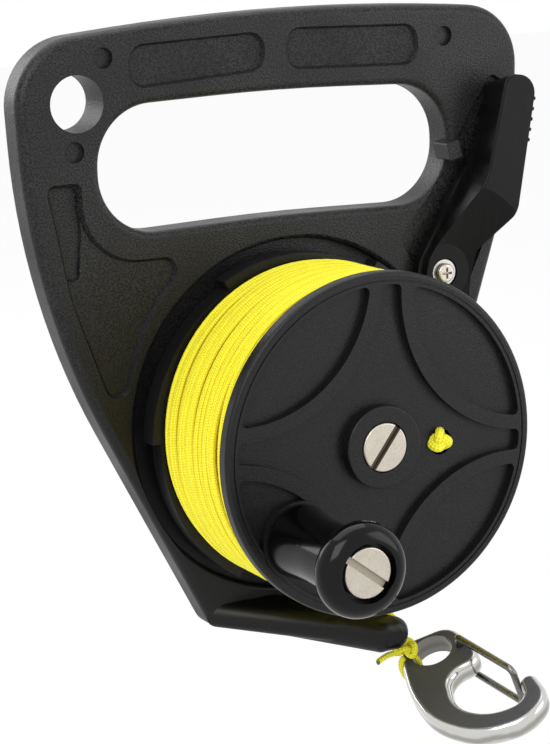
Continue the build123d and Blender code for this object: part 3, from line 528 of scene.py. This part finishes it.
# Knot, loop and cut end that tie the snap hook to the line. The loop hugs the eye's rim and is
# open under the knot, and the end is melted to a dark bead.
LOOP_INWARDS = 7.4
KNOT_RISE = 6.5
LOOP_CENTRE = HOOK_EYE - HOOK_ACROSS * LOOP_INWARDS * MM
KNOT = LOOP_CENTRE + HOOK_NORMAL * KNOT_RISE * MM
BULK_ACROSS = 1.4
BULK_RISE = 0.7
bulk = KNOT + (HOOK_ACROSS * BULK_ACROSS + HOOK_NORMAL * BULK_RISE) * MM
knot = overhand("hook_knot", bulk, HOOK_ALONG, HOOK_ACROSS, size=2.7, radius=0.9)
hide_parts("line_knot")
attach(knot, "handle")
LOOP_HIGH = 4.5
LOOP_WIDE = 2.7
LOOP_SQUARE = 0.8
LOOP_OPEN = 14
LOOP_STEPS = 48
ring = []
for step in range(LOOP_STEPS + 1):
    angle = math.radians(LOOP_OPEN + (360 - 2 * LOOP_OPEN) * step / LOOP_STEPS)
    rise, reach = (math.copysign(abs(way) ** LOOP_SQUARE, way)
                   for way in (math.cos(angle), math.sin(angle)))
    ring.append(LOOP_CENTRE + (HOOK_NORMAL * rise * LOOP_HIGH
                               + HOOK_ACROSS * reach * LOOP_WIDE) * MM)
loop = braided("hook_loop", ring, material=knot_yellow)
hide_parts("line_loop")
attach(loop, "handle")
TAIL_WAY = Vector((-0.99, 0, -0.15)).normalized()
TAIL_START = 1.6
TAIL_LENGTH = 7.6
TAIL_ARCH = 0.9
TAIL_STEPS = 12
stub = [KNOT + (TAIL_WAY * (TAIL_START + TAIL_LENGTH * step / TAIL_STEPS)
                + Vector((0, 0, TAIL_ARCH * math.sin(math.pi * step / TAIL_STEPS)))) * MM
        for step in range(TAIL_STEPS + 1)]
tail = braided("cut_tail", stub, material=knot_yellow)
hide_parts("line_tail")
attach(tail, "handle")

# Melted end: the same plastic, charred to a glossy olive brown, in a bead pressed flat
CHAR = 0.6
BEAD_RADIUS = 0.9
BEAD_FLAT = 0.5
melted, tree, shader = finish("melted_line_end", Roughness=0.35)
spot = add(tree, "TexCoord").outputs["Object"]
char = add(tree, "TexNoise", {"Vector": spot, "Scale": 1 / (CHAR * MM), "Detail": 3.0})
tone = add(tree, "Mix", {0: char.outputs[0], 6: linear("#2c2a08"), 7: linear("#77700f")},
           data_type="RGBA")
tree.links.new(tone.outputs[2], shader.inputs["Base Color"])
bpy.ops.object.select_all(action="DESELECT")
bpy.ops.mesh.primitive_uv_sphere_add(segments=20, ring_count=12, radius=BEAD_RADIUS * MM,
                                     location=stub[-1])
bead = bpy.context.object
bead.name = "melted_end"
bead.scale = (BEAD_FLAT, 1, 1)
bpy.ops.object.transform_apply(location=True, rotation=True, scale=True)
bpy.ops.object.shade_smooth()
bead.data.materials.append(melted)
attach(bead, "handle")

# Shoulder of the foot: carries the foot's near side on to the heel's corner. A block as wide
# and deep as its root is drawn in at its front end to go into the foot, and its long edges are
# rounded. Each end has its height, then its middle across, its middle up, its width and its
# depth.
SHOULDER_ROOT = (11.0, -18.4, -56.7, 24.8, 7.4)
SHOULDER_END = (34.5, 6.35, -60.75, 11.3, 8.1)
SHOULDER_ROUND = 3.2
root_height, root_x, root_z, root_wide, root_deep = SHOULDER_ROOT
end_height, end_x, end_z, end_wide, end_deep = SHOULDER_END
bpy.ops.object.select_all(action="DESELECT")
bpy.ops.mesh.primitive_cube_add(
    size=1, location=place(root_x, (root_height + end_height) / 2, root_z))
shoulder_block = bpy.context.object
shoulder_block.name = "foot_shoulder"
shoulder_block.scale = Vector((root_wide, end_height - root_height, root_deep)) * MM
bpy.ops.object.transform_apply(location=True, rotation=True, scale=True)
bpy.ops.object.mode_set(mode="EDIT")
bpy.ops.mesh.select_mode(type="FACE")
shape = bmesh.from_edit_mesh(shoulder_block.data)
for side_face in shape.faces:
    side_face.select_set(side_face.normal.y < -0.9)
bmesh.update_edit_mesh(shoulder_block.data)
bpy.ops.transform.resize(value=(end_wide / root_wide, 1, end_deep / root_deep),
                         center_override=place(root_x, end_height, root_z))
bpy.ops.transform.translate(value=place(end_x, 0, end_z) - place(root_x, 0, root_z))
bpy.ops.mesh.select_mode(type="EDGE")
shape = bmesh.from_edit_mesh(shoulder_block.data)
for long_edge in shape.edges:
    one, two = long_edge.verts
    long_edge.select_set(abs(one.co.y - two.co.y) > MM)
bmesh.update_edit_mesh(shoulder_block.data)
bpy.ops.mesh.bevel(offset=SHOULDER_ROUND * MM, segments=8, affect="EDGES")
bpy.ops.object.mode_set(mode="OBJECT")
bpy.ops.object.shade_smooth_by_angle(angle=SMOOTH_BELOW)
shoulder_block.data.materials.append(nylon)
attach(shoulder_block, "handle")

# Line from the drum through the foot's hole to the knot, pulled tight. The spline cuts inside
# the corner over the hole, so that point is moved from the hole's axis, outwards and up, and
# the line goes into the hole.
GUIDE_X = 15.4
GUIDE_HEIGHT = 38.0
LEAD_RADIUS = 48.15
ENTRY_DROP = 54.5
EXIT_DROP = 68.2
ENTRY_OUTWARDS = 2.2
ENTRY_UP = 1.5
KNOT_HALF = 2.8
lead_turn = (math.atan2(-ENTRY_DROP, GUIDE_X)
             - math.acos(LEAD_RADIUS / math.hypot(ENTRY_DROP, GUIDE_X)))
leave = place(LEAD_RADIUS * math.cos(lead_turn), GUIDE_HEIGHT,
              LEAD_RADIUS * math.sin(lead_turn))
entry = place(GUIDE_X + ENTRY_OUTWARDS, GUIDE_HEIGHT, -ENTRY_DROP + ENTRY_UP)
line_exit = place(GUIDE_X, GUIDE_HEIGHT, -EXIT_DROP)
route = [leave, entry, line_exit, KNOT - (KNOT - line_exit).normalized() * KNOT_HALF * MM]
curve = bpy.data.curves.new("lead", "CURVE")
curve.dimensions = "3D"
curve.bevel_depth = LINE_RADIUS * MM
curve.bevel_resolution = 3
curve.use_fill_caps = True
spline = curve.splines.new("NURBS")
spline.points.add(len(route) - 1)
for spline_point, point in zip(spline.points, route):
    spline_point.co = (*point, 1)
spline.order_u = 3
spline.use_endpoint_u = True
spline.resolution_u = 12
lead = bpy.data.objects.new("lead_line", curve)
bpy.context.scene.collection.objects.link(lead)
curve.materials.append(line_yellow)
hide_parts("line_run")
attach(lead, "handle")


def white_rays(tree):
    """1 for rays that see the background: the camera's, reflections and what glass lets by."""
    path = add(tree, "LightPath")
    mirror = add(tree, "Math", {0: path.outputs["Is Camera Ray"],
                                1: path.outputs["Is Glossy Ray"]}, operation="MAXIMUM")
    seen = add(tree, "Math", {0: mirror.outputs[0], 1: path.outputs["Is Transmission Ray"]},
               operation="MAXIMUM")
    return seen.outputs[0]


# Floor: white paper under the hook when it hangs straight down. To the rays that see the
# background it mostly glows, and it keeps a little of the object's shadow.
FLOOR_Z = -0.206
FLOOR_SIDE = 6.0
FLOOR_GLOW = 0.93
bpy.ops.mesh.primitive_plane_add(size=FLOOR_SIDE, location=(0, 0, FLOOR_Z))
floor = bpy.context.object
floor.name = "floor"
paper, tree, shader = finish("floor_paper", Roughness=0.9, Specular_IOR_Level=0.1)
shader.inputs["Base Color"].default_value = linear("#ffffff")
glow = add(tree, "Emission", {"Color": (1, 1, 1, 1), "Strength": 1.0})
share = add(tree, "Math", {0: white_rays(tree), 1: FLOOR_GLOW}, operation="MULTIPLY")
both = add(tree, "MixShader", {0: share.outputs[0], 1: shader.outputs[0], 2: glow.outputs[0]})
tree.links.new(both.outputs[0], tree.nodes["Material Output"].inputs["Surface"])
floor.data.materials.append(paper)

# World: white to the same rays, and a dimmer light on the object
ROOM_LIGHT = 0.45
world = bpy.data.worlds.new("studio")
world.use_nodes = True
bpy.context.scene.world = world
tree = world.node_tree
level = add(tree, "MapRange", {0: white_rays(tree), 1: 0.0, 2: 1.0, 3: ROOM_LIGHT, 4: 1.0})
background = tree.nodes["Background"]
background.inputs["Color"].default_value = (1, 1, 1, 1)
tree.links.new(level.outputs[0], background.inputs["Strength"])

MIDDLE = (0.06, -0.03, -0.09)


def softbox(name, location, width, height, watts):
    """A rectangular lamp turned to the object's middle."""
    lamp = bpy.data.lights.new(name, "AREA")
    lamp.shape = "RECTANGLE"
    lamp.size = width
    lamp.size_y = height
    lamp.energy = watts
    stand = bpy.data.objects.new(name, lamp)
    bpy.context.scene.collection.objects.link(stand)
    stand.location = location
    way = Vector(MIDDLE) - Vector(location)
    stand.rotation_euler = way.to_track_quat("-Z", "Y").to_euler()


softbox("key", (-0.55, -0.75, 0.55), width=0.7, height=0.7, watts=6.5)
softbox("fill", (0.75, -0.7, 0.1), width=0.5, height=0.8, watts=3)
softbox("top", (0.05, 0.15, 0.75), width=1.0, height=0.7, watts=4.5)
softbox("back", (-0.3, 0.8, 0.3), width=0.6, height=0.6, watts=3)

# Camera: place and turn worked out from the photograph, 550 x 744 pixels
CAMERA_PLACE = (-0.23961, -0.571, 0.05141)
CAMERA_TURN = (78.182, 1.8095, -28.3878)
FOCAL_PIXELS = 2242.5
PHOTO_HEIGHT = 744
SENSOR = 36
lens = bpy.data.cameras.new("photo_camera")
lens.sensor_width = SENSOR
lens.lens = FOCAL_PIXELS * SENSOR / PHOTO_HEIGHT
lens.clip_start = 0.01
camera = bpy.data.objects.new("photo_camera", lens)
bpy.context.scene.collection.objects.link(camera)
camera.location = CAMERA_PLACE
camera.rotation_euler = [math.radians(turn) for turn in CAMERA_TURN]
bpy.context.scene.camera = camera
bpy.context.scene.view_settings.view_transform = "Standard"
